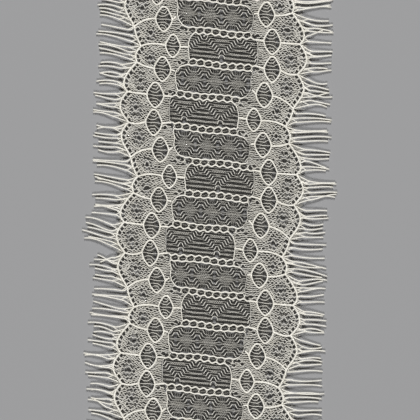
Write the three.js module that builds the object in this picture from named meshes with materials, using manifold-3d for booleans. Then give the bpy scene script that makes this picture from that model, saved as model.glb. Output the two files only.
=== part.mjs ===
// Eyelash lace: a cut length of scalloped lace trim, lying flat with its face up.
// The band is one piece of machine lace. Each scalloped edge has a cord that holds a
// row of cut thread ends, the lashes. Millimetres, +Z up, the lace runs along Y.
import * as THREE from "three";
import { mergeVertices } from "three/addons/utils/BufferGeometryUtils.js";
import Module from "manifold-3d";

const wasm = await Module();
wasm.setup();

// The trim as a whole
const REPEAT = 52; // length of one pattern repeat
const LENGTH = 184; // cut length of the trim
const SKEW = 0.078; // fall of every row to the right, for each mm across
const CLOTH_THICK = 1.0; // clothwork and net
const CORD_RISE = 0.5; // outlining cords stand this far above the clothwork
const CORD_WIDTH = 0.75;
const CUT_OVER = 1; // every cut runs this far past both faces

// The two borders are one design, mirrored and moved on by half a repeat.
const LEFT_INNERMOST = 12; // place along the lace of the left border's innermost eye
const BORDERS = [
  { name: "left", side: -1, start: LEFT_INNERMOST },
  { name: "right", side: 1, start: LEFT_INNERMOST - REPEAT / 2 },
];

// The eyes of one repeat, measured on the middle of the cord that outlines each of them.
// along: from the innermost eye; out: from the middle of the lace.
const EYES = [
  { along: -20.2, out: 23.0, length: 10.0, width: 6.4 },
  { along: -9.6, out: 20.4, length: 9.9, width: 6.3 },
  { along: 0, out: 16.5, length: 9.2, width: 5.6 },
  { along: 10.3, out: 20.4, length: 9.7, width: 6.1 },
  { along: 20.8, out: 23.3, length: 9.7, width: 6.3 },
];
const EYE_FULLNESS = 1.75; // 2 is an ellipse, 1 a rhombus
const EYE_SIDES = 10;
const DIVIDER_BEND = { across: 0.55, along: 0.25 }; // where an eye's cord bends to its corner

// The corners of the scalloped edge. Each row also gives the petal that follows it:
// how far its edge bulges out of the chord, the steps of that arc and its lashes.
const EDGE = [
  { along: -19.5, out: 34.7, bulge: 2.9, steps: 4, lashes: 6 },
  { along: -7.2, out: 31.3, bulge: 0.7, steps: 2, lashes: 4 },
  { along: 0, out: 29.8, bulge: 0.5, steps: 2, lashes: 3 },
  { along: 6.4, out: 32.8, bulge: 2.4, steps: 4, lashes: 7 },
  { along: 20.6, out: 34.7, bulge: 3.6, steps: 5, lashes: 6 },
];
const EDGE_CORD = 1.4; // width of the strip that holds the lashes
const EDGE_GAP = 0.5; // from that strip to the band, measured across the lace

// The open middle: braided rungs across the lace and a panel of net between each two.
const RUNG_FIRST = LEFT_INNERMOST + 7.25;
const RUNG_PITCH = REPEAT / 4;
const RUNG_WIDTH = 3.4;
const LINK_PITCH = 3.1;
const LINK_HOLE = { long: 2.1, wide: 1.5 };
const MIDDLE_INSET = 5.6; // from the line of eyes to the ends of the rungs
const MIDDLE_WAVE = { least: 16.5, rise: 6.9 }; // the line of eyes, from its innermost point

// The four panels of one repeat, from the rung above them. start is one crest or crossing.
const PANELS = [
  { pattern: "zigzag", start: -4.2, pitch: 14 },
  { pattern: "lozenges", start: -3.6, pitch: 8.6 },
  { pattern: "zigzag", start: -4.0, pitch: 14 },
  { pattern: "lozenges", start: -6.6, pitch: 8.8 },
];
const SLOT_WIDTH = 0.9; // a row of net holes, cut as one slanting slot
const SLOT_RISE = 3.9; // slots end this far from a panel's middle,
const SLOT_START = 1; // and those of a lozenge start this far from it
const SLOT_LEAST = 1.5; // shorter slots at the side of a panel are left out

// Lashes: cut thread ends that lie on the table
const LASH_WIDTH = 0.55;
const LASH_THICK = 0.6;
const LASH_REACH = 45.0; // where the shortest tips end, from the middle of the lace
const LASH_UNEVEN = 2.6; // how far single tips pass that line
const LASH_TUFT = 3.4; // how much further the tuft of the widest petal reaches,
const WIDE_PETAL = 3; // which is the one that bulges by more than this
const LASH_KNEE = 3.2; // a lash bends this far outside its root, or LASH_FREE before its tip
const LASH_FREE = 10;
const LASH_SPREAD = 0.25; // shares of the lash spacing: the roots of a pair lie apart,
const LASH_LEAN = 0.26; // its tips lean together
const LASH_WANDER = 0.4; // and the pair strays along the lace

// Repeatable unevenness from 0 to 1 for the number n.
function uneven(n) {
  const wave = Math.sin(n * 12.9898) * 43758.5453;
  return wave - Math.floor(wave);
}

// Every row of a table, once for each repeat that the cut length reaches.
function repeated(rows, start) {
  const many = Math.ceil(LENGTH / REPEAT / 2) + 1;
  const placed = [];
  for (let k = -many; k <= many; k++)
    for (const row of rows)
      placed.push({ ...row, along: start + k * REPEAT + row.along, turn: k });
  return placed.filter((row) => Math.abs(row.along) < LENGTH / 2 + REPEAT / 2);
}

// Points of the scalloped edge from one end to the other, as [out, along].
function edgePoints(border) {
  const corners = repeated(EDGE, border.start);
  const points = [];
  for (let i = 0; i + 1 < corners.length; i++)
    for (let k = 0; k < corners[i].steps; k++)
      points.push(onPetal(corners[i], corners[i + 1], k / corners[i].steps));
  return points;
}

// A point on the petal's edge, at the share t of the way from one corner to the next.
function onPetal(from, to, t) {
  const out = from.out + (to.out - from.out) * t + from.bulge * Math.sin(Math.PI * t);
  return [out, from.along + (to.along - from.along) * t];
}

// How far the open middle reaches towards a border, at a place along the lace.
function middleReach(border, along) {
  const wave = Math.abs(Math.sin((Math.PI * (along - border.start)) / REPEAT));
  return MIDDLE_WAVE.least + MIDDLE_WAVE.rise * wave - MIDDLE_INSET;
}

// The x of the open middle's left and right side, at a place along the lace.
function middleSides(along) {
  return BORDERS.map((border) => border.side * middleReach(border, along));
}

// A solid body from a closed geometry, with its shared corners merged.
function solidOf(geometry) {
  const bare = geometry.clone();
  bare.deleteAttribute("normal");
  bare.deleteAttribute("uv");
  const merged = mergeVertices(bare, 1e-4);
  return new wasm.Manifold(
    new wasm.Mesh({
      numProp: 3,
      vertProperties: merged.attributes.position.array,
      triVerts: new Uint32Array(merged.index.array),
    }),
  );
}

// An upright prism over an outline of [x, y] points.
function prism(outline, bottom, top) {
  const shape = new THREE.Shape(outline.map(([x, y]) => new THREE.Vector2(x, y)));
  const solid = new THREE.ExtrudeGeometry(shape, { depth: top - bottom, bevelEnabled: false });
  return solidOf(solid.translate(0, 0, bottom));
}

// A hole right through the cloth.
function throughHole(outline) {
  return prism(outline, -CUT_OVER, CLOTH_THICK + CORD_RISE + CUT_OVER);
}

// The outline of a strip of the given width along an open path.
function stripOutline(path, width) {
  const left = [];
  const right = [];
  path.forEach(([x, y], i) => {
    const [ax, ay] = path[Math.max(i - 1, 0)];
    const [bx, by] = path[Math.min(i + 1, path.length - 1)];
    const long = Math.hypot(bx - ax, by - ay);
    const nx = ((by - ay) / long) * (width / 2);
    const ny = ((bx - ax) / long) * (width / 2);
    left.push([x - nx, y + ny]);
    right.unshift([x + nx, y - ny]);
  });
  return [...left, ...right];
}

// The rounded, slightly pointed outline of an eye. grow widens it on every side.
function eyeOutline(border, eye, grow) {
  const rounded = (value) => Math.sign(value) * Math.abs(value) ** (2 / EYE_FULLNESS);
  return Array.from({ length: EYE_SIDES }, (_, i) => {
    const angle = ((i + 0.5) / EYE_SIDES) * 2 * Math.PI;
    return [
      border.side * eye.out + (eye.width / 2 + grow) * rounded(Math.cos(angle)),
      eye.along + (eye.length / 2 + grow) * rounded(Math.sin(angle)),
    ];
  });
}

// The cord from an eye to the nearest corner of the edge, between two petals.
function dividerOutline(border, eye, corners) {
  const distance = (corner) => Math.abs(corner.along - eye.along);
  const corner = corners.reduce((a, b) => (distance(b) < distance(a) ? b : a));
  const from = border.side * (eye.out + eye.width / 2);
  const to = border.side * (corner.out - EDGE_CORD - EDGE_GAP);
  const bend = [
    from + (to - from) * DIVIDER_BEND.across,
    eye.along + (corner.along - eye.along) * DIVIDER_BEND.along,
  ];
  return stripOutline([[from, eye.along], bend, [to, corner.along]], CORD_WIDTH);
}

// The places along the lace of the braided rungs.
function rungPlaces() {
  const many = Math.ceil(LENGTH / RUNG_PITCH / 2) + 1;
  const places = [];
  for (let k = -many; k <= many; k++) places.push(RUNG_FIRST + k * RUNG_PITCH);
  return places.filter((along) => Math.abs(along) < LENGTH / 2);
}

// The middles of a rung's links, evenly spaced between its two ends.
function linkPlaces(along) {
  const [left, right] = middleSides(along);
  const many = Math.floor((right - left) / LINK_PITCH);
  const first = (left + right) / 2 - ((many - 1) / 2) * LINK_PITCH;
  return Array.from({ length: many }, (_, i) => first + i * LINK_PITCH);
}

// A rung's outline, from one side of the open middle to the other.
function rungOutline(along) {
  const [left, right] = middleSides(along);
  return stripOutline([[left - CORD_WIDTH, along], [right + CORD_WIDTH, along]], RUNG_WIDTH);
}

// The diamond-shaped hole in one link of a rung.
function linkHole(x, along) {
  return [
    [x - LINK_HOLE.long / 2, along],
    [x, along - LINK_HOLE.wide / 2],
    [x + LINK_HOLE.long / 2, along],
    [x, along + LINK_HOLE.wide / 2],
  ];
}

// A slanting slot between two points, cut back at the sides of its panel.
function slotOutline([ax, ay], [bx, by]) {
  const [left, right] = middleSides((ay + by) / 2);
  const low = left + SLOT_WIDTH + CORD_WIDTH;
  const high = right - SLOT_WIDTH - CORD_WIDTH;
  const share = (x) => Math.min(Math.max((x - ax) / (bx - ax), 0), 1);
  const ends = [share(low), share(high)].sort((a, b) => a - b);
  const point = (t) => [ax + (bx - ax) * t, ay + (by - ay) * t];
  const [[px, py], [qx, qy]] = ends.map(point);
  if (Math.hypot(qx - px, qy - py) < SLOT_LEAST) return [];
  const half = SLOT_WIDTH / 2;
  return [[[px - half, py], [px + half, py], [qx + half, qy], [qx - half, qy]]];
}

// The slots of one panel, whose middle is at a place along the lace.
function panelSlots(panel, along) {
  const many = Math.ceil(MIDDLE_WAVE.least / panel.pitch) + 1;
  const slots = [];
  for (let k = -many; k <= many; k++)
    for (const way of [-1, 1]) {
      const x = panel.start + k * panel.pitch;
      const near = x + way * SLOT_WIDTH;
      const far = x + way * (panel.pitch / 2 - SLOT_WIDTH);
      if (panel.pattern === "zigzag") {
        slots.push([[near, along + SLOT_RISE], [far, along - SLOT_RISE]]);
        continue;
      }
      for (const up of [-1, 1])
        slots.push([[near, along + up * SLOT_START], [far, along + up * SLOT_RISE]]);
    }
  return slots.flatMap(([from, to]) => slotOutline(from, to));
}

// The lashes of a border: paths from inside the edge cord, over a knee, to the cut tip.
function lashPaths(border) {
  const corners = repeated(EDGE, border.start);
  const paths = [];
  for (let i = 0; i + 1 < corners.length; i++) {
    const petal = corners[i];
    const spacing = (corners[i + 1].along - petal.along) / petal.lashes;
    for (let k = 0; k < petal.lashes; k++) {
      const [out, along] = onPetal(petal, corners[i + 1], (k + 0.5) / petal.lashes);
      const key = paths.length + 100 * border.side;
      const mate = k % 2 ? -1 : 1;
      const stray = (uneven(key - (k % 2)) - 0.5) * LASH_WANDER * spacing;
      const lean = mate * LASH_LEAN * spacing * uneven(key + 0.3);
      const tuft = petal.bulge > WIDE_PETAL ? LASH_TUFT * uneven(petal.turn + border.side) : 0;
      const reach = LASH_REACH + LASH_UNEVEN * uneven(key + 0.7) + tuft;
      const path = [
        [out - EDGE_CORD / 2, along - mate * LASH_SPREAD * spacing],
        [Math.max(out + LASH_KNEE, reach - LASH_FREE), along],
        [reach, along + lean + stray],
      ];
      paths.push(path.map(([x, y]) => [border.side * x, y]));
    }
  }
  return paths.filter((path) => path.every(([, y]) => Math.abs(y) < LENGTH / 2 - LASH_WIDTH));
}

// The two waste lengths past the straight cuts, which trim whatever runs over them.
function pastTheCuts() {
  const far = 2 * LENGTH;
  const start = LENGTH / 2;
  return [-1, 1].map((end) => {
    const [low, high] = end < 0 ? [-far, -start] : [start, far];
    const outline = [[-far, low], [far, low], [far, high], [-far, high]];
    return throughHole(outline);
  });
}

// The lace band: clothwork with raised outlining cords and rungs, and all its holes.
function laceBand() {
  const outline = BORDERS.map((border) =>
    edgePoints(border).map(([out, along]) => [
      border.side * (out - EDGE_CORD - EDGE_GAP),
      along,
    ]),
  );
  const corded = CLOTH_THICK + CORD_RISE;
  const raised = [];
  const holes = pastTheCuts();
  for (const border of BORDERS) {
    const corners = repeated(EDGE, border.start);
    for (const eye of repeated(EYES, border.start)) {
      raised.push(prism(eyeOutline(border, eye, CORD_WIDTH / 2), 0, corded));
      raised.push(prism(dividerOutline(border, eye, corners), 0, corded));
      holes.push(throughHole(eyeOutline(border, eye, -CORD_WIDTH / 2)));
    }
  }
  for (const along of rungPlaces()) {
    raised.push(prism(rungOutline(along), 0, corded));
    for (const x of linkPlaces(along)) holes.push(throughHole(linkHole(x, along)));
  }
  const many = Math.ceil(LENGTH / REPEAT / 2) + 1;
  for (let k = -many; k <= many; k++)
    PANELS.forEach((panel, i) => {
      const along = RUNG_FIRST + k * REPEAT - (i + 0.5) * RUNG_PITCH;
      for (const slot of panelSlots(panel, along)) holes.push(throughHole(slot));
    });
  const cloth = prism([...outline[0].reverse(), ...outline[1]], 0, CLOTH_THICK);
  return wasm.Manifold.union([cloth, ...raised]).subtract(wasm.Manifold.union(holes));
}

// One border's edge cord with its lashes.
function lashFringe(border) {
  const edge = edgePoints(border);
  const outer = edge.map(([out, along]) => [border.side * out, along]);
  const inner = edge.map(([out, along]) => [border.side * (out - EDGE_CORD), along]);
  const cord = prism([...outer, ...inner.reverse()], 0, CLOTH_THICK);
  const lashes = lashPaths(border).map((path) =>
    prism(stripOutline(path, LASH_WIDTH), 0, LASH_THICK),
  );
  return wasm.Manifold.union([cord, ...lashes]).subtract(wasm.Manifold.union(pastTheCuts()));
}

// A named mesh from a solid, laid askew as the trim lies.
function laidMesh(name, solid, material) {
  const { numProp, vertProperties, triVerts } = solid.getMesh();
  const geometry = new THREE.BufferGeometry();
  geometry.setAttribute("position", new THREE.BufferAttribute(vertProperties, numProp));
  geometry.setIndex(new THREE.BufferAttribute(triVerts, 1));
  geometry.applyMatrix4(new THREE.Matrix4().makeShear(-SKEW, 0, 0, 0, 0, 0));
  geometry.computeVertexNormals();
  const mesh = new THREE.Mesh(geometry, material);
  mesh.name = name;
  return mesh;
}

// Warm white cotton thread.
function ivoryThread() {
  return new THREE.MeshStandardMaterial({ color: 0xf4f1e6, roughness: 0.65, metalness: 0 });
}

const lace = new THREE.Group();
lace.name = "eyelash_lace";
lace.add(laidMesh("lace_band", laceBand(), ivoryThread()));
for (const border of BORDERS)
  lace.add(laidMesh("lash_fringe_" + border.name, lashFringe(border), ivoryThread()));

// The origin is on the table, under the middle of the trim.
const middle = new THREE.Box3().setFromObject(lace).getCenter(new THREE.Vector3());
lace.position.set(-middle.x, -middle.y, 0);

export default lace;
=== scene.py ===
"""Eyelash lace trim: a cut length of machine lace on a pale table, made of its single threads.

Sizes are millimetres in the lace's own layout, x across the lace and y along it, until lay() turns
them into metres in the shared frame. Every thread is a tube carried along a path.
"""
from types import SimpleNamespace as Sizes
import bpy
import numpy as np
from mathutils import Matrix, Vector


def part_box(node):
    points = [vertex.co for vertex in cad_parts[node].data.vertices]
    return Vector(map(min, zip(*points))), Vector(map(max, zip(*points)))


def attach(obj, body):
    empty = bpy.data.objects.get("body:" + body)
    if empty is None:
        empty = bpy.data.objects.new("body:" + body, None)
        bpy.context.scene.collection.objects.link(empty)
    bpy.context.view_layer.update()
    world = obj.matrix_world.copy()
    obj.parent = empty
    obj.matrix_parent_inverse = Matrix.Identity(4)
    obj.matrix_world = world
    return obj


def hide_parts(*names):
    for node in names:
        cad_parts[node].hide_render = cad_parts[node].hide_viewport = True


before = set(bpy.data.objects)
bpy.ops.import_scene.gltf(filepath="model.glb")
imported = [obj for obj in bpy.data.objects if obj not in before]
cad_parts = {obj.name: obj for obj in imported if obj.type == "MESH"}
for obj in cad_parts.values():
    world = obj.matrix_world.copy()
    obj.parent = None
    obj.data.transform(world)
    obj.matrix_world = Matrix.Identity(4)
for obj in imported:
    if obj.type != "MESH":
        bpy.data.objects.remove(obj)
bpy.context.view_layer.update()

TAU = 2 * np.pi
UP = np.array([0.0, 0.0, 1.0])


def columns(names, *rows):
    """A short table: each name with its column of values."""
    return Sizes(**dict(zip(names.split(), np.array(rows, float).T)))


# The trim as a whole
REPEAT = 52.0
LENGTH = 184.0
SKEW = 0.078
LEFT_INNERMOST = 12.0
# The borders, with their innermost eye, how far from it a cord marks the side of the open middle, and
# the number from which their unevenness is drawn
BORDERS = {
    "left": Sizes(side=-1, start=LEFT_INNERMOST, cord_to=17.5, key=0.0),
    "right": Sizes(side=1, start=LEFT_INNERMOST - REPEAT / 2, cord_to=6.5, key=100.0),
}
MIDDLE_KEY = 7.0
# The repeats that may show, and how far past the cut ends a place still counts
TURNS = np.arange(-3, 4)
PAST_THE_CUT = 6

# The eyes of one repeat, on the middle of their outlining cord. Each has a cord to its corner of the
# edge, which sways towards the corner early or late, and a short one that joins the open middle.
EYES = columns(
    "along out length width sway join_along join_out",
    (-20.2, 23.0, 10.3, 6.9, 0.0, -20.1, 16.2),
    (-9.6, 20.4, 10.0, 6.8, 0.1, -9.9, 15.4),
    (0, 16.5, 9.3, 6.0, -0.7, 0.2, 10.5),
    (10.3, 20.4, 10.1, 6.8, 0.1, 11.9, 15.4),
    (20.8, 23.3, 10.5, 6.7, 2.2, 21.5, 16.4),
)
# The outline of an eye, blunt above and pointed below: half its width at a height over its middle and
# at the same depth under it, as shares of half its size
EYE_OUTLINE = columns(
    "height above below",
    (0.0, 1.0, 1.0), (0.25, 0.9, 0.9), (0.5, 0.72, 0.75), (0.7, 0.53, 0.52), (0.85, 0.39, 0.32),
    (0.95, 0.28, 0.14), (1.0, 0.0, 0.0),
)
# Its cord: even samples on an outline of this width for its length, rounded
EYE_RING = Sizes(width_share=0.64, samples=76, rounded=2)
# The bars across an eye, laid out for one of a certain length, and the web between them
EYE_BARS = Sizes(each_way=3, pitch=1.18, for_length=10.0, samples=31, slope=1.6, right_knee=0.15,
                 left_knee=0.45, left_share=0.5, wander=0.12, wave=0.6, thick=0.38, thin=0.22,
                 thick_to=0.3, thin_from=0.6, height=0.52, half_tall=0.62, web_reach=0.52, web_zig=0.45,
                 web_thick=0.12, web_height=0.68)

# The corners of the scalloped edge, each with the petal that follows it and the heart of its flower
PETALS = columns(
    "along out bulge lean lashes heart_along heart_out flower",
    (-19.95, 34.35, 2.7, 0.75, 6, -14.9, 29.0, 1.0),
    (-7.85, 30.95, 1.2, 1.0, 4, -5.4, 25.5, 0.8),
    (-1.3, 29.45, 0.5, 1.0, 3, 4.2, 25.5, 0.75),
    (6.1, 32.3, 3.3, 1.2, 7, 14.2, 29.1, 1.0),
    (19.95, 33.6, 3.2, 1.0, 6, 25.8, 30.7, 1.05),
)
PETAL_ENDS = np.append(PETALS.along, PETALS.along[0] + REPEAT)

# The sheer flower of a petal, with half its size and half the size of the hole at its heart
FLOWER = Sizes(half_across=2.2, half_along=3.6, shift=-0.1, heart_across=0.75, heart_along=1.0)
# How blunt the outline of a hole is, and how far it pulls at the rows, in halves of its length
HOLE_BLUNT = 3
HOLE_PULL = 4
# Spots of the clothwork whose fill is left out
LOOSE_SPOTS = Sizes(long=0.8, share=0.24)
# How far its rows stray: in slow waves, and in quick ones that grow from the open middle to the petals
CLOTH_STRAY = Sizes(slow=0.1, slow_wave=6.3, quick_wave=1.6, least=0.12, most=0.27, least_to=19.0,
                    most_from=25.0)
# Broad waves that its rows share, with their lengths across and along the lace
CLOTH_FLOW = columns("height across along", (0.3, 14.0, 9.1), (0.2, 8.7, -17.0))
# The reach of its rows before they are cut to the border, how far inside the edge they end and run
# under an eye's cord, and the widest gap that is filled, in row pitches
CLOTH_ENDS = (8.0, 39.0)
EDGE_INSET = 0.3
EYE_OVERLAP = 0.03
WIDEST_FILLED = 1.5
# The two veins of a petal, from the edge to its flower, as points from the heart
VEINS = (
    ((5.6, 0.1), (4.4, -0.5), (3.2, -0.2), (2.2, 0.5)),
    ((4.6, -1.3), (3.3, -2.2), (2.1, -3.6), (0.4, -4.3), (-1.2, -3.9)),
)
VEIN_THICK = 0.26
VEIN_RISE = 0.15
# The holes inside the edge: a petal's row of them is longer than the petal by a share of its bulge
EDGE_HOLE_PITCH = 1.95
EDGE_HOLE_INSET = 1.3
EDGE_HOLE_HALF = (0.72, 1.05)
BULGE_SHARE = 0.6
EDGE_HOLES = np.round((np.diff(PETAL_ENDS) + BULGE_SHARE * PETALS.bulge) / EDGE_HOLE_PITCH).astype(int)

# The pitch of the clothwork's rows, and the step of the samples on which rows are worked out
ROW_PITCH = 0.76
FINE = 0.085
# Row threads with their swelling and rise on steep bars, height over the table and half their own
# height, and the fill that zigzags between them
CLOTH_THREADS = Sizes(thick=0.35, swell=0.1, rise=0.0, step=0.34, height=0.72, half_tall=0.4,
                      fill=0.23, zig=0.43, spread=0.5, fill_height=0.78)
SHEER_THREADS = Sizes(**dict(vars(CLOTH_THREADS), fill=0.09))
NET_THREADS = Sizes(thick=0.17, swell=1.1, rise=0.14, step=0.30, height=0.47, half_tall=0.55,
                    fill=0.17, zig=0.43, spread=0.36, fill_height=0.82)
LOZENGE_THREADS = Sizes(**dict(vars(NET_THREADS), thick=0.19, swell=0.65, fill=0.11, spread=0.3,
                               fill_height=0.78))
WEB_THREADS = Sizes(thick=0.17, swell=0.0, rise=0.0, step=0.4, height=0.72, half_tall=0.09,
                    fill=0.13, zig=0.4, spread=0.5, fill_height=0.72)
# The slope from which a row counts as a bar, and the slow rise and fall of each row
BAR_FROM = 0.3
ROW_SWAY = Sizes(height=0.05, rate=2.1, shift=7)
# How strongly a bend gathers samples and the sharpest that counts, and the widest mitre at a bend
BEND_PULL = 0.16
BEND_MOST = 25.0
MITRE = 2.2

# Heights of clothwork and cords over the table, and how much taller than thick the cords are
CLOTH_HEIGHT = 0.72
CORD_HEIGHT = 0.78
CORD_TALL = 1.7
RUNG_TALL = 2.0
CORD_THICK = 0.70
# The cords from an eye: to the edge, under whose cord it is tucked, and to the open middle
DIVIDER = Sizes(tuck=0.2, bend=0.55, inner_bow=0.25)
# The edge cord, with its knots
EDGE_CORD = Sizes(thick=0.74, step=0.3, inset=0.25, knot=0.22, knot_half=0.45)

# The side of the open middle, kinked where eyes and rungs pull at it
SIDE = columns(
    "along out",
    (-23.0, 17.3), (-20.2, 17.0), (-18.75, 16.0), (-17.2, 13.8), (-16.0, 14.8), (-13.2, 15.1),
    (-9.8, 15.5), (-7.6, 13.0), (-5.75, 11.2), (-4.2, 9.8), (0.2, 10.5), (3.0, 10.2), (4.8, 9.5),
    (6.2, 8.5), (7.0, 11.6), (7.25, 12.0), (9.0, 12.9), (11.9, 15.4), (15.2, 14.7), (18.3, 15.4),
    (20.25, 16.2), (22.0, 17.2),
)
# The cord along that side, faint far from the innermost eye of its border
SIDE_CORD = Sizes(thick=0.46, faint=0.22, fade=2.5)

# The rungs of the open middle: two cords on a slack line, whose waves part at each link, and their ties
RUNG_FIRST = LEFT_INNERMOST + 7.25
RUNG_PITCH = REPEAT / 4
RUNG_HALF = 1.16
RUNG_WAVES = (0.31, 0.15)
RUNG_SLACK = Sizes(height=0.22, wave=19.0)
RUNG_CORD_THICK = 0.56
RUNGS = np.arange(-9, 8)
LINK_PITCH = 3.15
LINK_SKEW = 0.3
TIE = Sizes(half=0.42, thick=0.44, apart=0.08, samples=7, slant=1.25, slant_up=0.36, slant_thick=0.26,
            slant_rise=-0.2)
# Holes in the clothwork beyond the end of a rung, counted from its end, with half their sizes
RUNG_END = columns("out along half_across half_along", (1.1, 0.45, 0.85, 0.75), (2.5, -0.75, 0.75, 0.7),
                   (-0.9, -1.7, 0.7, 0.6))
# Samples of the cord round a panel, along a rung and a side, and how far they round its corners
FRAME_SAMPLES = Sizes(rung=118, side=32, rounded=5)

# The two patterns of net, and the panels of one repeat from a rung downwards
ZIGZAG = Sizes(crest=5.1, foot=-2.1, rows=12, row_pitch=0.88, step=1.5, sharp=0.37, pair_above=0.03,
               pair_below=0.2, pair_from=0.9, pair_grow=0.9, filled_from=0.3, hole_under=1.45,
               hole_half=(1.05, 1.2))
LOZENGE = Sizes(heart=0.8, half_flat=0.6, slope=1.4, rows=8, row_pitch=1.02, up=1.0, down=0.55,
                sharp=0.68, least=0.25, filled_from=1.35)
PANELS = (
    Sizes(pattern="zigzag", start=-4.2, pitch=14.4),
    Sizes(pattern="lozenge", start=-3.6, pitch=8.7),
    Sizes(pattern="zigzag", start=-4.0, pitch=14.4),
    Sizes(pattern="lozenge", start=-6.5, pitch=9.0),
)
# The reach of net rows before they are cut to a panel, where its corners are cut, their waves, how far
# inside its sides they are filled, and the widest gap that is
NET_ENDS = (-18.0, 18.1)
NET_ROWS = Sizes(corner_from=4.0, wave=0.07, wave_long=7.2, fill_inset=1.1, widest=1.6)
# The upright threads in the windows of a lozenge panel
WINDOW = Sizes(half=0.8, threads=3, begin=3.0, long=2.2, samples=6, sway=0.12, inset=0.5, thick=0.1)

# Lashes: their size and the line that their tips reach
LASH_THICK = 0.48
LASH_BLUNT = 1.15
LASH_REACH = 45.0
LASH_UNEVEN = 2.6
LASH_TUFT = 3.4
TUFT_PETAL = 4
# How a petal's lashes spread at their roots, gather, lean and stray, in shares of its width or of their
# spacing, how they swing in groups, and how clear of the cut ends they stay
LASH_ROOTS = 0.99
LASH_LEAN = 0.26
LASH_WANDER = 0.4
LASH_GATHER = 0.8
LASH_OWN_WAY = 0.6
LASH_TIP_WAY = 0.5
LASH_GROUP = Sizes(most=0.34, level=0.36)
LASH_CLEAR = Sizes(tip=0.55, root=1)
# The knee of a lash, its way from root to tip, and the few that lie loose
KNEE_OUT = 1.2
KNEE_UNEVEN = 1.3
KNEE_LEVEL = 0.3
LASH_BOW = 3.0
LASH_SWAY = 0.7
LASH_PATH = Sizes(root_samples=6, root_share=0.86, run_samples=13, smoothings=2, blunt=2)
LASH_STRAY = Sizes(share=0.05, aside=2.4, short=3.5, bow_share=0.4)
# The thinner leg of a lash, and the sheer webs at the roots
LEG = Sizes(thick=0.33, least=0.45, more=0.4, bow=0.3, join=0.1)
WEB = Sizes(pitch=0.52, ends=(29.0, 40.0), wave=0.1, wave_long=3.1, tuck=0.2, waist=0.3, waist_more=0.55)

# Painted shade: heights in metres between which a thread's colour grows from grey to its own white, and
# the two whites between which it strays
PAINTED_SHADE_FROM = 0.0003
PAINTED_SHADE_TO = 0.0011
IVORY = ((0.855, 0.822, 0.73, 1), (0.945, 0.917, 0.84, 1))

# The studio, in metres: half the table, two soft boxes low at the ends of the lace, and the camera
TABLE_HALF = 3.0
TABLE_GREY = (0.31, 0.31, 0.315, 1)
BOX_SIZE = 0.6
SOFT_BOXES = (("key_box", (0.05, 2.63, 1.4), 108.0), ("fill_box", (-0.05, -2.63, 1.4), 88.0))
SURROUND = 0.01
CAMERA = Sizes(place=(0.0001, 0.00045), away=1.5, shown=0.1673, lean_deg=1.54, sensor_mm=36.0)


def uneven(n):
    """Repeatable unevenness from 0 to 1: the part after the point of a large sine of n. What callers add
    to n only picks another draw."""
    wave = np.sin(np.asarray(n, float) * 12.9898) * 43758.5453
    return wave - np.floor(wave)


def lay(points):
    """The lace's own layout as it lies on the table: rows fall to the right, millimetres to metres."""
    low, high = (np.array(corner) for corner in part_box("lace_band"))
    middle = (low + high) / 2
    laid = points / 1000
    laid[:, 1] -= SKEW * laid[:, 0]
    laid[:, :2] += middle[:2]
    return laid


def local(along, start):
    """A place along the lace, counted from the nearest innermost eye of a border."""
    return (along - start + REPEAT / 2) % REPEAT - REPEAT / 2


def side_out(near):
    """How far out the side of the open middle lies: straight from kink to kink."""
    return np.interp(near, SIDE.along, SIDE.out, period=REPEAT)


def petal_of(near):
    """The petal at a place along the lace, and the share of the way from its corner to the next."""
    place = (near - PETAL_ENDS[0]) % REPEAT + PETAL_ENDS[0]
    petal = np.clip(np.searchsorted(PETAL_ENDS, place, side="right") - 1, 0, len(PETALS.along) - 1)
    return petal, (place - PETAL_ENDS[petal]) / (PETAL_ENDS[petal + 1] - PETAL_ENDS[petal])


def edge_out(near):
    """How far out the scalloped edge lies: corner to corner, plus half a sine of the petal's bulge,
    whose crest leans to one end."""
    petal, t = petal_of(near)
    out = np.append(PETALS.out, PETALS.out[0])
    crest = PETALS.bulge[petal] * np.sin(np.pi * t ** PETALS.lean[petal])
    return out[petal] + (out[petal + 1] - out[petal]) * t + crest


def eye_half(height):
    """Half the width of an eye at a height over its middle, as a share of its greatest."""
    above = np.interp(height, EYE_OUTLINE.height, EYE_OUTLINE.above)
    return np.where(height > 0, above, np.interp(-height, EYE_OUTLINE.height, EYE_OUTLINE.below))


def outside_eyes(out, near):
    """Positive outside every eye: how far a place lies beyond the outline, in half widths."""
    clear = np.full(np.broadcast(out, near).shape, np.inf)
    for along, centre, length, width in zip(EYES.along, EYES.out, EYES.length, EYES.width):
        height = local(near, along) / (length / 2)
        clear = np.minimum(clear, np.abs(out - centre) / (width / 2) - eye_half(height))
    return clear


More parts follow.
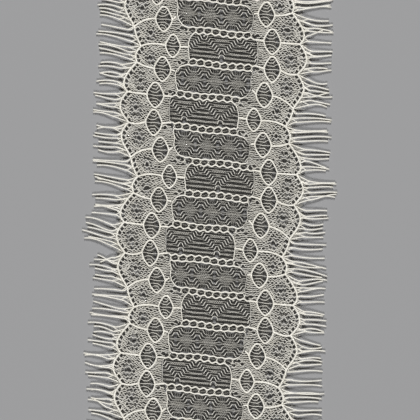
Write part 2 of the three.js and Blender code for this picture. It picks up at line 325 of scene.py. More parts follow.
def tubes(path, thick, keep=None, sides=4, closed=False, tall=1.0):
    """Round threads along many paths at once. At each sample a ring of points stands square to the
    path at half the thickness, drawn wider at a bend so that the thread stays as thick there, and taller
    for a chain of stitches; rings of kept neighbours are joined by walls, and free ends are capped."""
    path = np.asarray(path, float)
    keep = np.ones(path.shape[:2], bool) if keep is None else keep
    radius = np.broadcast_to(thick, path.shape[:2]) / 2
    leaving = np.roll(path, -1, axis=1) - path
    if not closed:
        leaving[:, -1] = leaving[:, -2]
    leaving /= np.linalg.norm(leaving, axis=2, keepdims=True)
    coming = np.roll(leaving, 1, axis=1)
    if not closed:
        coming[:, 0] = leaving[:, 0]
    tangent = coming + leaving
    straight = np.linalg.norm(tangent, axis=2, keepdims=True)
    tangent /= straight
    across = np.cross(tangent, UP)
    across /= np.linalg.norm(across, axis=2, keepdims=True)
    rise = np.cross(across, tangent) * tall
    across *= np.minimum(2 / straight, MITRE)
    angle = TAU * (np.arange(sides) + 0.5) / sides
    spoke = across[:, :, None] * np.cos(angle)[:, None] + rise[:, :, None] * np.sin(angle)[:, None]
    ring = path[:, :, None] + radius[:, :, None, None] * spoke
    number = np.arange(ring[..., 0].size).reshape(ring.shape[:3])
    joined = keep & np.roll(keep, -1, axis=1)
    if not closed:
        joined[:, -1] = False
    here, there = number[joined], np.roll(number, -1, axis=1)[joined]
    walls = np.stack([here, there, np.roll(there, -1, axis=1), np.roll(here, -1, axis=1)], axis=-1)
    before = np.roll(joined, 1, axis=1)
    caps = np.concatenate([number[joined & ~before], number[~joined & before][:, ::-1]])
    run = np.cumsum(np.linalg.norm(np.diff(path, axis=1, prepend=path[:, :1]), axis=2), axis=1)
    far = np.roll(run, -1, axis=1)
    far[:, -1] = run[:, -1] + FINE
    turn = np.arange(sides) / sides
    uv = np.empty(walls.shape + (2,))
    uv[..., 0] = np.stack([run[joined], far[joined], far[joined], run[joined]], axis=-1)[:, None]
    uv[..., 1] = np.stack([turn, turn, turn + 1 / sides, turn + 1 / sides], axis=-1)
    return {"points": ring.reshape(-1, 3), "walls": walls.reshape(-1, 4), "caps": caps,
            "uv": uv.reshape(-1, 2)}


def in_scene(name, data):
    """An object of the scene that holds a mesh, a lamp or a camera."""
    thing = bpy.data.objects.new(name, data)
    bpy.context.scene.collection.objects.link(thing)
    return thing


def piece(name, sets, finish):
    """One object from sets of tubes: their points laid in the frame, walls and caps as faces."""
    points, corners, sizes, uvs, first = [], [], [], [], 0
    for tube in sets:
        used = np.zeros(len(tube["points"]), bool)
        used[tube["walls"]] = True
        number = np.cumsum(used) - 1 + first
        points.append(tube["points"][used])
        corners += [number[tube["walls"]].ravel(), number[tube["caps"]].ravel()]
        sizes += [np.full(len(tube["walls"]), 4), np.full(len(tube["caps"]), tube["caps"].shape[1])]
        uvs += [tube["uv"], np.zeros((tube["caps"].size, 2))]
        first += int(used.sum())
    corners, sizes = np.concatenate(corners), np.concatenate(sizes)
    mesh = bpy.data.meshes.new(name)
    mesh.vertices.add(first)
    mesh.vertices.foreach_set("co", lay(np.concatenate(points)).ravel())
    mesh.loops.add(len(corners))
    mesh.loops.foreach_set("vertex_index", corners.astype(np.int32))
    mesh.polygons.add(len(sizes))
    mesh.polygons.foreach_set("loop_start", (np.cumsum(sizes) - sizes).astype(np.int32))
    mesh.polygons.foreach_set("use_smooth", np.ones(len(sizes), bool))
    layer = mesh.uv_layers.new(name="along_thread")
    layer.data.foreach_set("uv", np.concatenate(uvs).ravel())
    mesh.update(calc_edges=True)
    mesh.validate()
    mesh.materials.append(finish)
    thing = in_scene(name, mesh)
    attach(thing, "root")
    return thing


def stacked(*parts):
    """Points, or rows of a table, from arrays of one shape."""
    return np.stack(np.broadcast_arrays(*parts), axis=-1)


def through(points, samples):
    """Smooth paths through given points: between each two a cubic, whose slope at a point is half
    the step between that point's neighbours."""
    first, last = 2 * points[:, :1] - points[:, 1:2], 2 * points[:, -1:] - points[:, -2:-1]
    padded = np.concatenate([first, points, last], axis=1)
    place = np.linspace(0, points.shape[1] - 1, samples)
    span = np.minimum(place.astype(int), points.shape[1] - 2)
    f = (place - span)[None, :, None]
    a, b, c, d = (padded[:, span + k] for k in range(4))
    return b + 0.5 * f * (c - a + f * (2 * a - 5 * b + 4 * c - d + f * (3 * (b - c) + d - a)))


def bowed(start, bend, end, samples):
    """Paths on a curve of the second degree from start to end, drawn towards bend."""
    t = np.linspace(0, 1, samples)[None, :, None]
    return start[:, None] * (1 - t) ** 2 + bend[:, None] * 2 * t * (1 - t) + end[:, None] * t**2


def trimmed(path):
    """Which samples of a path lie on the cut length."""
    return np.abs(path[..., 1]) < LENGTH / 2


def on_every_repeat(along, start):
    """Where places of one repeat come again along the cut length, and the number of each place."""
    place = (along[None] + start + REPEAT * TURNS[:, None]).ravel()
    number = np.tile(np.arange(len(along)), len(TURNS))
    held = np.abs(place) < LENGTH / 2 + PAST_THE_CUT
    return place[held], number[held]


def rounded(path, reach):
    """Closed paths with rounded corners: each sample becomes the mean of its neighbours within reach."""
    near = range(-reach, reach + 1)
    return sum(np.roll(path, k, axis=0) for k in near) / len(near)


def zigzag(x, period):
    """A triangle wave from 0 to 1, highest at 0."""
    return np.abs(((x / period) % 1) * 2 - 1)


def part_rows(rows, base, x, holes):
    """Rows parted round holes: a row above a hole's middle rises over its rim, one below dips under.
    The height over the middle becomes the fourth root of its own and the rim's fourth powers."""
    for across, along, half_across, half_along in holes:
        rim = half_along * np.sqrt(np.clip(1 - np.abs((x - across) / half_across) ** HOLE_BLUNT, 0, None))
        side = np.where(base >= along, 1.0, -1.0)
        near = (np.abs(rows - along) < HOLE_PULL * half_along) & (rim > 0)
        parted = along + side * ((rows - along) ** 4 + rim**4) ** 0.25
        rows = np.where(near, parted, rows)
    return rows


def gathered(x, rows, keep, step):
    """Rows sampled anew, their samples gathered where a row bends: even steps of a length to which
    each bend adds. Gives their slopes too."""
    bend = np.abs(np.gradient(np.gradient(rows, x, axis=1), x, axis=1))
    run = np.cumsum(1 + BEND_PULL * np.minimum(bend, BEND_MOST), axis=1)
    samples = int((x[-1] - x[0]) / step)
    place = np.array([np.interp(np.linspace(one[0], one[-1], samples), one, x) for one in run])
    bent = np.array([np.interp(there, x, row) for there, row in zip(place, rows)])
    held = np.array([np.interp(there, x, kept) for there, kept in zip(place, keep.astype(float))])
    return place, bent, held > 0.5, np.abs(np.gradient(bent, axis=1) / np.gradient(place, axis=1))


def net(side, x, rows, keep, filled, key, threads):
    """Row threads, and thinner threads that zigzag between each row and the next where it is filled.
    The zigzag spreads from the middle of the gap by a share of its width."""
    place, bent, held, steep = gathered(x, rows, keep, threads.step)
    bar = np.clip(steep - BAR_FROM, 0, 1)
    swollen = threads.thick * (1 + threads.swell * bar)
    rise = threads.rise * bar
    shift = ROW_SWAY.shift * uneven(np.arange(len(rows)) + key)[:, None]
    sway = ROW_SWAY.height * np.sin(place * ROW_SWAY.rate + shift)
    path = stacked(side * place, bent, threads.height + rise + sway)
    tall = 2 * ((threads.half_tall + rise) / swollen)[..., None]
    row_tubes = tubes(path, swollen, held, tall=tall)
    return [row_tubes, fill_threads(side, x, rows, keep[:-1] & keep[1:] & filled, key, threads)]


def fill_threads(side, x, rows, shown, key, threads):
    """Thin threads that zigzag between each row and the next, where they are shown."""
    stride = int(round(threads.zig / (x[1] - x[0])))
    count = len(x) // stride - 1
    first = (stride * uneven(np.arange(len(rows) - 1) * 1.7 + key)).astype(int)
    index = first[:, None] + stride * np.arange(count)[None]
    below, above = np.take_along_axis(rows[:-1], index, 1), np.take_along_axis(rows[1:], index, 1)
    way = np.where(np.arange(count) % 2, threads.spread, -threads.spread)
    fill = (above + below) / 2 + way * (above - below)
    held = np.take_along_axis(shown, index, 1)
    path = stacked(side * x[index], fill, threads.fill_height)
    return tubes(path, threads.fill, held, sides=3)


def in_groups(many):
    """Things that come in groups of so many: the group of each, and its number there."""
    group = np.repeat(np.arange(len(many)), many)
    return group, np.arange(len(group)) - np.repeat(np.cumsum(many) - many, many)


def petal_holes(start):
    """The holes in the petals of a border: one at each flower's heart and a row inside the edge. One row
    each: out, along, and half the size across and along."""
    petal, step = in_groups(EDGE_HOLES)
    places = PETAL_ENDS[petal] + (step + 0.5) / EDGE_HOLES[petal] * np.diff(PETAL_ENDS)[petal]
    hearts = stacked(PETALS.heart_out, PETALS.heart_along, FLOWER.heart_across, FLOWER.heart_along)
    rim = stacked(edge_out(places) - EDGE_HOLE_INSET, places, *EDGE_HOLE_HALF)
    holes = np.concatenate([hearts, rim])
    along, number = on_every_repeat(holes[:, 1], start)
    placed = holes[number]
    placed[:, 1] = along
    return placed


def rung_end_holes(border):
    """The holes in the clothwork beyond the ends of the rungs, in rows as petal_holes gives them."""
    along = RUNG_FIRST + RUNG_PITCH * RUNGS[:, None]
    end = side_out(local(along, border.start))
    holes = stacked(end + RUNG_END.out, along + RUNG_END.along, RUNG_END.half_across,
                    RUNG_END.half_along)
    return holes.reshape(-1, 4)


def in_flowers(out, rows, start):
    """Which places lie in the sheer flower of a petal: inside an ellipse round its heart."""
    along, petal = on_every_repeat(PETALS.heart_along, start)
    inside = np.zeros(rows.shape, bool)
    for place, heart, size in zip(along, PETALS.heart_out[petal], PETALS.flower[petal]):
        across = (out - heart) / (size * FLOWER.half_across)
        height = (rows - place - size * FLOWER.shift) / (size * FLOWER.half_along)
        inside |= across**2 + height**2 < 1
    return inside


def clothwork(border):
    """The dense rows of a border, from the open middle to the scalloped edge, parted round its holes.
    In a flower every second row is left out, and a sheer web fills the gaps."""
    side, start, key = border.side, border.start, border.key
    base = np.arange(-LENGTH / 2 + ROW_PITCH / 2, LENGTH / 2, ROW_PITCH)[:, None]
    out = np.arange(*CLOTH_ENDS, 2 * FINE)
    number = np.arange(len(base))[:, None] + key
    stray = CLOTH_STRAY
    quick = np.interp(out, (stray.least_to, stray.most_from), (stray.least, stray.most))
    drift = stray.slow * np.sin(TAU * (out / stray.slow_wave + uneven(number)))
    drift = drift + quick * np.sin(TAU * (out / stray.quick_wave + uneven(number + 0.4)))
    flow = sum(height * np.sin(TAU * (out / across + base / along))
               for height, across, along in zip(*vars(CLOTH_FLOW).values()))
    holes = np.concatenate([petal_holes(start), rung_end_holes(border)])
    rows = part_rows(base + drift + flow, base, out, holes)
    near = local(rows, start)
    keep = (out > side_out(near)) & (out < edge_out(near) - EDGE_INSET) & (np.abs(rows) < LENGTH / 2)
    keep &= outside_eyes(out, near) > -EYE_OVERLAP
    middle = (rows[1:] + rows[:-1]) / 2
    closed = np.ones(middle.shape, bool)
    for across, along, half_across, half_along in holes:
        closed &= ((out - across) / half_across) ** 2 + ((middle - along) / half_along) ** 2 > 1
    flower = in_flowers(out, middle, start)
    sheer = keep[:-1] & keep[1:] & closed & flower
    filled = closed & ~flower & (np.diff(rows, axis=0) < WIDEST_FILLED * ROW_PITCH)
    spot = np.floor(out / LOOSE_SPOTS.long + 5 * uneven(number[1:] + 0.6))
    filled &= uneven(spot + 40 * number[1:]) > LOOSE_SPOTS.share
    keep &= (number % 2 == 0) | ~in_flowers(out, rows, start)
    made = net(side, out, rows, keep, filled, key, CLOTH_THREADS)
    return made + [fill_threads(side, out, rows, sheer, key, SHEER_THREADS)]


def every_eye(border):
    """The eyes of a border that lie on the cut length, as columns, with their places along the lace."""
    along, number = on_every_repeat(EYES.along, border.start)
    eyes = Sizes(**{name: column[number] for name, column in vars(EYES).items()})
    eyes.corner = number
    eyes.shift = along - eyes.along
    eyes.along = along
    return eyes


def eye_webs(border):
    """The bars inside each eye, level in the middle; towards the cord their ends slant up in the upper
    half and down in the lower one and grow thinner."""
    eyes = every_eye(border)
    size = EYE_BARS
    xi = np.linspace(-1, 1, size.samples)
    level = np.arange(-size.each_way, size.each_way + 1) * size.pitch
    slope = np.clip(level / (2 * size.pitch), -1, 1) * size.slope
    half = eye_half(level / (size.for_length / 2))[:, None]
    reach = half * xi
    right = border.side * xi
    beyond = np.clip(right - size.right_knee, 0, None)
    beyond += size.left_share * np.clip(-right - size.left_knee, 0, None)
    rows = level[:, None] + slope[:, None] * EYES.width.mean() / 2 * half * beyond
    count = len(eyes.along) * len(level)
    x = border.side * (eyes.out[:, None, None] + eyes.width[:, None, None] / 2 * reach)
    y = eyes.along[:, None, None] + rows * (eyes.length / size.for_length)[:, None, None]
    x, y = (part.reshape(count, -1) for part in np.broadcast_arrays(x, y))
    wander = uneven(np.arange(count) + border.key)[:, None]
    y = y + size.wander * np.sin(TAU * (xi * size.wave + wander))
    inside = outside_eyes(border.side * x, local(y, border.start)) < 0
    keep = inside & (np.abs(y) < LENGTH / 2)
    thick = np.interp(np.abs(xi), (size.thick_to, size.thin_from), (size.thick, size.thin))
    tall = 2 * size.half_tall / thick[None, :, None]
    bars = tubes(stacked(x, y, size.height), thick[None], keep, tall=tall)
    x, y, keep = (part.reshape(len(eyes.along), len(level), -1) for part in (x, y, keep))
    zig = np.where(np.arange(len(xi)) % 2, size.web_zig, -size.web_zig)
    web = (y[:, 1:] + y[:, :-1]) / 2 + zig * (y[:, 1:] - y[:, :-1])
    shown = keep[:, 1:] & keep[:, :-1] & (np.abs(xi) < size.web_reach)
    path = stacked((x[:, 1:] + x[:, :-1]) / 2, web, size.web_height)
    flat = (-1, len(xi))
    return [bars, tubes(path.reshape(flat + (3,)), size.web_thick, shown.reshape(flat), sides=3)]


def eye_cords(border):
    """The heavy cord round each eye: its outline mirrored twice, sampled evenly and rounded."""
    eyes = every_eye(border)
    height, above, below = vars(EYE_OUTLINE).values()
    corners = np.concatenate([
        np.stack([above, height], 1), np.stack([-above, height], 1)[-2::-1],
        np.stack([-below, -height], 1)[1:], np.stack([below, -height], 1)[-2::-1],
    ])
    sides = np.diff(corners * (EYE_RING.width_share, 1), axis=0)
    run = np.append(0, np.cumsum(np.linalg.norm(sides, axis=1)))
    even = np.linspace(0, run[-1], EYE_RING.samples, endpoint=False)
    ring = np.stack([np.interp(even, run, corner) for corner in corners.T], 1)
    ring = rounded(ring, EYE_RING.rounded)
    x = eyes.out[:, None] + eyes.width[:, None] / 2 * ring[:, 0]
    y = eyes.along[:, None] + eyes.length[:, None] / 2 * ring[:, 1]
    path = stacked(border.side * x, y, CORD_HEIGHT)
    return tubes(path, CORD_THICK, trimmed(path), sides=6, closed=True, tall=CORD_TALL)


def divider_cords(border):
    """The cord from each eye to its corner of the edge, and the short one from the eye to the middle."""
    eyes = every_eye(border)
    corner = eyes.corner
    begin = stacked(eyes.out + eyes.width / 2, eyes.along, CORD_HEIGHT)
    along = PETALS.along[corner] + eyes.shift
    end = stacked(PETALS.out[corner] - DIVIDER.tuck, along, CORD_HEIGHT)
    bend = begin + (end - begin) * stacked(DIVIDER.bend, eyes.sway, 0)
    outer = bowed(begin, bend, end, samples=22)
    begin = stacked(eyes.out - eyes.width / 2, eyes.along, CORD_HEIGHT)
    end = stacked(eyes.join_out, eyes.join_along + eyes.shift, CORD_HEIGHT)
    bend = (begin + end) / 2 + np.array([0, DIVIDER.inner_bow, 0])
    inner = bowed(begin, bend, end, samples=8)
    cords = []
    for path in (outer, inner):
        path[..., 0] *= border.side
        cords.append(tubes(path, CORD_THICK, trimmed(path), sides=6, tall=CORD_TALL))
    return cords


def vein_cords(border):
    """The veins of the petals: smooth curves through their points, scaled with the flower."""
    along, petal = on_every_repeat(PETALS.heart_along, border.start)
    size = PETALS.flower[petal][:, None]
    cords = []
    for vein in VEINS:
        across, up = np.array(vein).T
        points = stacked(PETALS.heart_out[petal][:, None] + size * across,
                         along[:, None] + size * up, CLOTH_HEIGHT + VEIN_RISE)
        path = through(points, samples=24)
        edge = edge_out(local(path[..., 1], border.start))
        path[..., 0] = np.minimum(path[..., 0], edge - EDGE_INSET)
        path[..., 0] *= border.side
        cords.append(tubes(path, VEIN_THICK, trimmed(path), sides=5))
    return cords


def middle_sides(along):
    """The x of the open middle's left and right side."""
    return [border.side * side_out(local(along, border.start)) for border in BORDERS.values()]


def side_thick(along, border):
    """How thick the cord along a side of the open middle is: fainter far from an innermost eye."""
    away = np.abs(local(along, border.start)) - border.cord_to
    return np.interp(away, (0, SIDE_CORD.fade), (SIDE_CORD.thick, SIDE_CORD.faint))


def zigzag_rows(x, panel):
    """Rows of a zigzag panel: each steps up by one row where it crosses the zigzag line from below,
    and away from that line only every second gap is filled, which under it is drawn together. A hole
    lies at each foot of the line."""
    size = ZIGZAG
    number = np.arange(size.rows)[:, None]
    level = (number - (size.rows - 1) / 2) * size.row_pitch
    line = size.foot + (size.crest - size.foot) * zigzag(x - panel.start, panel.pitch)
    away = np.clip((np.abs(level - line) - size.pair_from) / size.pair_grow, 0, 1)
    pull = np.where(level > line, size.pair_above, size.pair_below)
    pair = np.where(number % 2, -1, 1) * pull * away
    rows = level + size.step / 2 * np.clip((level - line) / size.sharp, -1, 1) + pair
    foot = panel.start + panel.pitch * (TURNS + 0.5)
    holes = [(place, size.foot - size.hole_under, *size.hole_half) for place in foot]
    rows = part_rows(rows, level, x, holes)
    filled = away > size.filled_from
    return rows, filled[:-1] & filled[1:] & (number % 2 == 0)[:-1]


def lozenge_rows(x, panel):
    """Rows of a lozenge panel: from each crossing, flat at its middle, four lines slant to the panel's
    corners, and a row runs on its level's outer side between the lines above or below a crossing and on
    its inner side elsewhere."""
    size = LOZENGE
    level = (np.arange(size.rows) - (size.rows - 1) / 2)[:, None] * size.row_pitch
    pitch = panel.pitch
    place = np.abs((x - panel.start + pitch / 2) % pitch - pitch / 2)
    beyond = np.abs(level) - size.heart - size.slope * np.maximum(place - size.half_flat, 0)
    shift = np.clip(beyond / size.sharp, -1, 1)
    rows = np.abs(level) + np.where(shift > 0, size.up, size.down) * shift
    rows = np.sign(level) * np.maximum(rows, size.least)
    filled = np.abs(beyond) > size.filled_from * size.sharp
    return rows, filled[:-1] & filled[1:]


def every_panel():
    """The panels that the length holds: each with its repeat, its number there and its middle."""
    for turn in TURNS:
        for number, panel in enumerate(PANELS):
            middle = RUNG_FIRST + turn * REPEAT - (number + 0.5) * RUNG_PITCH
            if abs(middle) <= LENGTH / 2 + RUNG_PITCH / 2:
                yield turn, number, panel, middle


def middle_net():
    """The panels between the rungs, each with its rows and the fill between them. A row waves slowly and
    is cut short at the panel's corners."""
    size = NET_ROWS
    x = np.arange(*NET_ENDS, FINE)
    made = []
    for turn, number, panel, middle in every_panel():
        pattern, threads = zigzag_rows, NET_THREADS
        if panel.pattern == "lozenge":
            pattern, threads = lozenge_rows, LOZENGE_THREADS
        rows, filled = pattern(x, panel)
        corner = np.clip(np.abs(rows) - size.corner_from, 0, 1)
        count = np.arange(len(rows))[:, None] + 31 * number + 7 * turn
        rows = rows + middle + size.wave * np.sin(TAU * (x / size.wave_long + uneven(count + MIDDLE_KEY)))
        left, right = middle_sides(rows)
        keep = (x > left + corner) & (x < right - corner) & (np.abs(rows) < LENGTH / 2)
        keep &= np.abs(rows - middle) < RUNG_PITCH / 2 - RUNG_HALF
        inside = (x > left + size.fill_inset) & (x < right - size.fill_inset)
        filled = filled & inside[1:] & (np.diff(rows, axis=0) < size.widest)
        made += net(1, x, rows, keep, filled, MIDDLE_KEY + turn + number, threads)
    return made


def window_threads():
    """The faint threads that stand upright, with a slight sway, in the windows of lozenge panels."""
    size = WINDOW
    t = np.linspace(0, 1, size.samples)[None, :]
    made = []
    for _, _, panel, middle in every_panel():
        if panel.pattern != "lozenge":
            continue
        window = panel.start + panel.pitch * (TURNS + 0.5)
        x = (window[:, None] + np.linspace(-size.half, size.half, size.threads)).reshape(-1, 1)
        sway = size.sway * np.sin(TAU * (t + uneven(x)))
        for way in (-1, 1):
            y = middle + way * (size.begin + size.long * t) + 0 * x
            left, right = middle_sides(y)
            keep = (x > left + size.inset) & (x < right - size.inset) & (np.abs(y) < LENGTH / 2)
            path = stacked(x + sway, y, NET_THREADS.fill_height)
            made.append(tubes(path, size.thick, keep, sides=3))
    return made


def rung_line(number, x):
    """The middle line of a rung: level but for a slow wave."""
    slack = RUNG_SLACK.height * np.sin(TAU * (x / RUNG_SLACK.wave + uneven(number)))
    return RUNG_FIRST + RUNG_PITCH * number + slack


def rung_links(number):
    """The middle of a rung's first link, and how many links it has between the borders."""
    left, right = middle_sides(RUNG_FIRST + RUNG_PITCH * number)
    many = int((right - left) // LINK_PITCH)
    return (left + right) / 2 - (many - 1) / 2 * LINK_PITCH, many


def rung_cord(number, way, x):
    """The cord above or below the middle line of a rung, by a cosine that is widest at each link."""
    first = rung_links(number)[0]
    wave = RUNG_WAVES[int((way > 0) == (number % 2 == 0))]
    apart = RUNG_HALF + wave * np.cos(TAU * (x - first - way * LINK_SKEW) / LINK_PITCH)
    return rung_line(number, x) + way * apart


def panel_frames():
    """The cord round each panel, a closed path with rounded corners: the lower cord of the rung above,
    the panel's right side, the upper cord of the rung below and its left side."""
    size = FRAME_SAMPLES
    made = []
    for number in RUNGS[1:]:
        top = RUNG_FIRST + RUNG_PITCH * number - RUNG_HALF
        bottom = top - RUNG_PITCH + 2 * RUNG_HALF
        down = np.linspace(top, bottom, size.side)
        left, right = middle_sides(down)
        over = np.linspace(left[0], right[0], size.rung)
        under = np.linspace(right[-1], left[-1], size.rung)
        x = np.concatenate([over, right, under, left[::-1]])
        y = np.concatenate([0 * over + top, down, 0 * under + bottom, down[::-1]])
        part = np.repeat(np.arange(4), 2 * [size.rung, size.side])
        x, y, above, below = (rounded(column, size.rounded) for column in (x, y, part == 0, part == 2))
        y = y + above * (rung_cord(number, -1, x) - top) + below * (rung_cord(number - 1, 1, x) - bottom)
        path = stacked(x, y, CORD_HEIGHT)[None]
        side = np.where(x < 0, side_thick(y, BORDERS["left"]), side_thick(y, BORDERS["right"]))
        thick = side + (RUNG_CORD_THICK - side) * (above + below)
        made.append(tubes(path, thick[None], trimmed(path), sides=6, closed=True, tall=RUNG_TALL))
    return made


def rung_ties():
    """What ties the two cords of a rung: crossed threads between each two links, and a thin thread
    that slants through each link."""
    made = []
    t = np.linspace(-1, 1, TIE.samples)[None, :]
    for number in RUNGS:
        first, many = rung_links(number)
        lean = 1 if number % 2 else -1
        tie = first + (np.arange(many + 1) - 0.5) * LINK_PITCH
        sag = rung_line(number, tie)[:, None]
        for way in (-1, 1):
            cross = stacked(tie[:, None] + way * TIE.half * t, sag + t * (RUNG_HALF - RUNG_WAVES[1]),
                            CORD_HEIGHT + TIE.apart * way)
            made.append(tubes(cross, TIE.thick, trimmed(cross), sides=5))
        link = tie[:-1, None] + LINK_PITCH / 2
        rise = sag[:-1] + t * TIE.slant_up
        slant = stacked(link + lean * TIE.slant * t, rise, CORD_HEIGHT + TIE.slant_rise)
        made.append(tubes(slant, TIE.slant_thick, trimmed(slant)))
    return made


def edge_nodes(border):
    """The places along the lace where the edge cord is tied: the corners and even steps between them."""
    petal, step = in_groups(EDGE_HOLES)
    one = PETAL_ENDS[petal] + np.diff(PETAL_ENDS)[petal] * step / EDGE_HOLES[petal]
    return np.sort((one[None] + border.start + REPEAT * TURNS[:, None]).ravel())


def edge_cord(border):
    """The cord along the scalloped edge: straight from tie to tie, thicker at a tie by a bell curve."""
    along = np.arange(-LENGTH / 2, LENGTH / 2, EDGE_CORD.step)
    nodes = edge_nodes(border)
    out = np.interp(along, nodes, edge_out(local(nodes, border.start))) - EDGE_CORD.inset
    gap = np.min(np.abs(along[:, None] - nodes[None]), axis=1)
    path = stacked(border.side * out, along, CORD_HEIGHT)
    thick = EDGE_CORD.thick * (1 + EDGE_CORD.knot * np.exp(-((gap / EDGE_CORD.knot_half) ** 2)))
    return tubes(path[None], thick[None], sides=6, tall=CORD_TALL)


def lash_table(border):
    """A border's lashes as columns: petal by petal, evenly spaced, their tips astray by pairs.
    The roots of a petal's outer lashes lie in its corners."""
    rows = len(PETALS.along)
    turn, petal = (part.ravel() for part in np.meshgrid(TURNS, np.arange(rows), indexing="ij"))
    corner = PETALS.along[petal] + border.start + REPEAT * turn
    shown = np.abs(corner) < LENGTH / 2 + REPEAT / 2
    turn, petal, corner = turn[shown], petal[shown], corner[shown]
    width = np.diff(corner)
    many = PETALS.lashes[petal[:-1]].astype(int)
    of, k = in_groups(many)
    t = (k + 0.5) / many[of]
    spacing = (width / many)[of]
    key = np.arange(len(of)) + 100 * border.side
    mate = np.where(k % 2, -1, 1)
    stray = (uneven(key - k % 2) - 0.5) * LASH_WANDER * spacing
    lean = mate * LASH_LEAN * spacing * uneven(key + 0.3)
    tuft = np.where(petal[of] == TUFT_PETAL, LASH_TUFT * uneven(turn[of] + border.side), 0)
    crest = edge_out(PETALS.along[petal[of]] + width[of] * 0.5)
    own_way = LASH_OWN_WAY * spacing * (uneven(key + 0.43) - 0.5)
    along = corner[of] + width[of] * (0.5 + (t - 0.5) * LASH_GATHER) + own_way
    knee = crest + KNEE_OUT + KNEE_UNEVEN * (uneven(key + 0.5) - KNEE_LEVEL)
    reach = LASH_REACH + LASH_UNEVEN * uneven(key + 0.7) + tuft
    group_key = rows * turn[of] + petal[of] + 0.31 * border.side
    group = LASH_GROUP.most * (uneven(group_key) - LASH_GROUP.level)
    tip_way = LASH_TIP_WAY * spacing * (uneven(key + 0.37) - 0.5)
    tip = along + lean + stray + tip_way + group * (reach - knee)
    root = corner[of] + width[of] * (0.5 + (t - 0.5) * many[of] / (many[of] - 1) * LASH_ROOTS)
    lash = {"root": root, "along": along + 0.5 * stray, "knee": knee, "tip": tip, "reach": reach,
            "spacing": spacing, "mate": mate, "key": key}
    held = np.abs(tip) < LENGTH / 2 - LASH_CLEAR.tip
    held &= np.abs(root) < LENGTH / 2 - LASH_CLEAR.root
    return Sizes(**{name: column[held] for name, column in lash.items()})


def on_edge(along, border):
    """Points at the edge cord of a border, where a lash is rooted."""
    return stacked(edge_out(local(along, border.start)) - EDGE_INSET, along, CORD_HEIGHT)


def lashes(border):
    """Cut thread ends: each leaves the edge askew, bends at its knee and runs on to its blunt tip. On
    the way it sways over to the tip's side by a smooth step and bows by a parabola; a thinner leg ties
    the knee to the edge on its other side."""
    lash = lash_table(border)
    key = lash.key
    bow = LASH_BOW * (uneven(key + 0.9) - 0.5)
    loose = uneven(key + 0.17) < LASH_STRAY.share
    aside = np.where(loose, LASH_STRAY.aside * np.sign(bow), 0)
    reach = lash.reach - np.where(loose, LASH_STRAY.short * uneven(key + 0.23), 0)
    root = on_edge(lash.root, border)
    knee = stacked(lash.knee, lash.along, CLOTH_HEIGHT)
    tip = stacked(reach, lash.tip + aside, LASH_BLUNT * LASH_THICK / 2)
    t = np.linspace(0, 1, LASH_PATH.run_samples)
    run = knee[:, None] + (tip - knee)[:, None] * t[:, None]
    over = LASH_SWAY * (t**2 * (3 - 2 * t) - t)
    bow = (bow - LASH_STRAY.bow_share * aside)[:, None]
    run[..., 1] += (tip - knee)[:, 1:2] * over + bow * 2 * t * (1 - t)
    share = np.linspace(0, LASH_PATH.root_share, LASH_PATH.root_samples)[None, :, None]
    bent = root[:, None] + (knee - root)[:, None] * share
    path = np.concatenate([bent, run], axis=1)
    for _ in range(LASH_PATH.smoothings):
        path[:, 1:-1] = (path[:, :-2] + 2 * path[:, 1:-1] + path[:, 2:]) / 4
    path[..., 0] *= border.side
    thick = np.full(path.shape[1], LASH_THICK)
    thick[-LASH_PATH.blunt:] *= LASH_BLUNT
    apart = LEG.least + LEG.more * uneven(key + 0.61)
    foot = on_edge(lash.along + lash.mate * lash.spacing * apart, border)
    bend = (foot + knee) / 2 + np.array([LEG.bow, 0, 0])
    leg = bowed(foot, bend, knee + (tip - knee) * LEG.join, samples=8)
    leg[..., 0] *= border.side
    return [tubes(path, thick[None], sides=6), tubes(leg, LEG.thick, trimmed(leg), sides=5)]


def lash_webs(border):
    """Sheer webs at the roots of the lashes: fine rows from the edge to a line that reaches the knees
    and sinks back between them, with finer threads that zigzag between the rows."""
    pitch, key = WEB.pitch, border.key
    base = np.arange(-LENGTH / 2 + pitch, LENGTH / 2 - pitch, pitch)[:, None]
    out = np.arange(*WEB.ends, 2 * FINE)
    number = np.arange(len(base))[:, None] + key
    rows = base + WEB.wave * np.sin(TAU * (out / WEB.wave_long + uneven(number)))
    near = local(rows, border.start)
    petal, t = petal_of(near)
    crest = edge_out((PETAL_ENDS[petal] + PETAL_ENDS[petal + 1]) / 2) + KNEE_OUT
    edge = edge_out(near)
    waist = WEB.waist + WEB.waist_more * np.abs(np.cos(np.pi * t * PETALS.lashes[petal]))
    keep = (out > edge - WEB.tuck) & (out < edge + waist * (crest - edge))
    filled = np.ones_like(keep[1:])
    return net(border.side, out, rows, keep, filled, key, WEB_THREADS)


def set_inputs(node, **values):
    """Sets inputs of a shader node by name."""
    for name, value in values.items():
        node.inputs[name.replace("_", " ")].default_value = value


def new_node(tree, kind, **values):
    """A shader node with its inputs set by name."""
    node = tree.nodes.new("ShaderNode" + kind)
    set_inputs(node, **values)
    return node


def new_finish(name, **values):
    """A material with the inputs of its shader set by name."""
    finish = bpy.data.materials.new(name)
    finish.use_nodes = True
    set_inputs(finish.node_tree.nodes["Principled BSDF"], **values)
    return finish


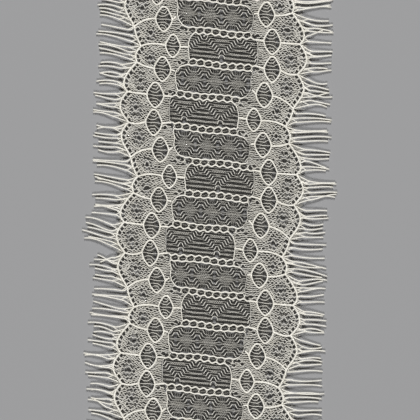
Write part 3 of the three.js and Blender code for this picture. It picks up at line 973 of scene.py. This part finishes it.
def ivory_thread(name, twist, painted_shade_at_table):
    """Warm white cotton: colour that strays a little and is darkened by painted shade towards the table,
    by the given factor at the table itself, and plies that twist along the thread."""
    finish = new_finish(name, Roughness=0.62, Specular_IOR_Level=0.35, Sheen_Weight=0.25,
                        Sheen_Roughness=0.5)
    tree = finish.node_tree
    shader = tree.nodes["Principled BSDF"]
    place = new_node(tree, "TexCoord")
    stain = new_node(tree, "TexNoise", Scale=260.0, Detail=3.0, Roughness=0.6)
    ramp = new_node(tree, "ValToRGB")
    for stop, position, colour in zip(ramp.color_ramp.elements, (0.3, 0.7), IVORY):
        stop.position = position
        stop.color = colour
    # Painted shade: the colour's value falls with height over the table, so threads are greyer near it as
    # if in shadow
    split = new_node(tree, "SeparateXYZ")
    painted_shade_by_height = new_node(tree, "MapRange", From_Min=PAINTED_SHADE_FROM, From_Max=PAINTED_SHADE_TO, To_Min=painted_shade_at_table,
                     To_Max=1.0)
    painted_shade_colour = new_node(tree, "HueSaturation")
    run = new_node(tree, "UVMap")
    run.uv_map = "along_thread"
    slant = new_node(tree, "Mapping", Rotation=(0, 0, np.radians(35)), Scale=(twist, 1.0, 1.0))
    plies = new_node(tree, "TexWave", Scale=1.6, Distortion=0.6, Detail=1.0)
    bump = new_node(tree, "Bump", Strength=0.5, Distance=0.0001)
    links = (
        (place, "Object", stain, "Vector"), (stain, "Fac", ramp, "Fac"), (ramp, "Color", painted_shade_colour, "Color"),
        (place, "Object", split, "Vector"), (split, "Z", painted_shade_by_height, "Value"),
        (painted_shade_by_height, "Result", painted_shade_colour, "Value"), (painted_shade_colour, "Color", shader, "Base Color"),
        (run, "UV", slant, "Vector"), (slant, "Vector", plies, "Vector"), (plies, "Fac", bump, "Height"),
        (bump, "Normal", shader, "Normal"),
    )
    for giver, output, taker, entry in links:
        tree.links.new(giver.outputs[output], taker.inputs[entry])
    return finish


def pale_table():
    """The table that the lace lies on: pale grey, a shade darker than the lace."""
    half = TABLE_HALF
    mesh = bpy.data.meshes.new("table_top")
    corners = [(-half, -half, 0), (half, -half, 0), (half, half, 0), (-half, half, 0)]
    mesh.from_pydata(corners, [], [(0, 1, 2, 3)])
    mesh.materials.append(new_finish("pale_table", Base_Color=TABLE_GREY, Roughness=0.8))
    table = in_scene("table_top", mesh)


def soft_light(name, place, power):
    """A square soft box that faces the lace."""
    lamp = bpy.data.lights.new(name, "AREA")
    lamp.size = BOX_SIZE
    lamp.energy = power
    box = in_scene(name, lamp)
    box.location = place
    direction = -np.array(place)
    box.rotation_euler = (np.arccos(-direction[2] / np.linalg.norm(direction)), 0,
                          np.arctan2(direction[1], direction[0]) - np.pi / 2)


def studio():
    """Soft light from both ends of the lace, a faint even surround and the camera straight above."""
    scene = bpy.context.scene
    scene.view_settings.view_transform = "Standard"
    for name, place, power in SOFT_BOXES:
        soft_light(name, place, power)
    scene.world = bpy.data.worlds.new("studio")
    scene.world.use_nodes = True
    set_inputs(scene.world.node_tree.nodes["Background"], Color=(1, 1, 1, 1), Strength=SURROUND)
    lens = bpy.data.cameras.new("over_the_lace")
    lens.sensor_width = CAMERA.sensor_mm
    lens.lens = lens.sensor_width * CAMERA.away / CAMERA.shown
    scene.camera = in_scene("over_the_lace", lens)
    scene.camera.location = (*CAMERA.place, CAMERA.away)
    scene.camera.rotation_euler = (0, 0, np.radians(CAMERA.lean_deg))


# The last number is how dark the painted shade makes a thread at the table: strong for cloth and cords,
# faint for lashes
cloth_thread = ivory_thread("ivory_cloth_thread", twist=2.0, painted_shade_at_table=0.12)
cord_thread = ivory_thread("ivory_cord", twist=1.0, painted_shade_at_table=0.12)
lash_thread = ivory_thread("ivory_lash_thread", twist=1.0, painted_shade_at_table=0.9)
studio()
pale_table()
for name, border in BORDERS.items():
    cloth = piece(name + "_border_cloth", clothwork(border), cloth_thread)
    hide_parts("lace_band")
    cords = [eye_cords(border), *divider_cords(border), *vein_cords(border)]
    fringe = piece(name + "_lash_fringe", [edge_cord(border), *lashes(border)], lash_thread)
    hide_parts("lash_fringe_" + name)
    goes_with = [
        piece(name + "_eye_webs", eye_webs(border), cloth_thread),
        piece(name + "_border_cords", cords, cord_thread),
        piece(name + "_lash_webs", lash_webs(border), cloth_thread),
        fringe,
    ]
middle = piece("middle_net", middle_net(), cloth_thread)
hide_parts("lace_band")
piece("window_threads", window_threads(), cloth_thread)
piece("braided_rungs", panel_frames() + rung_ties(), cord_thread)
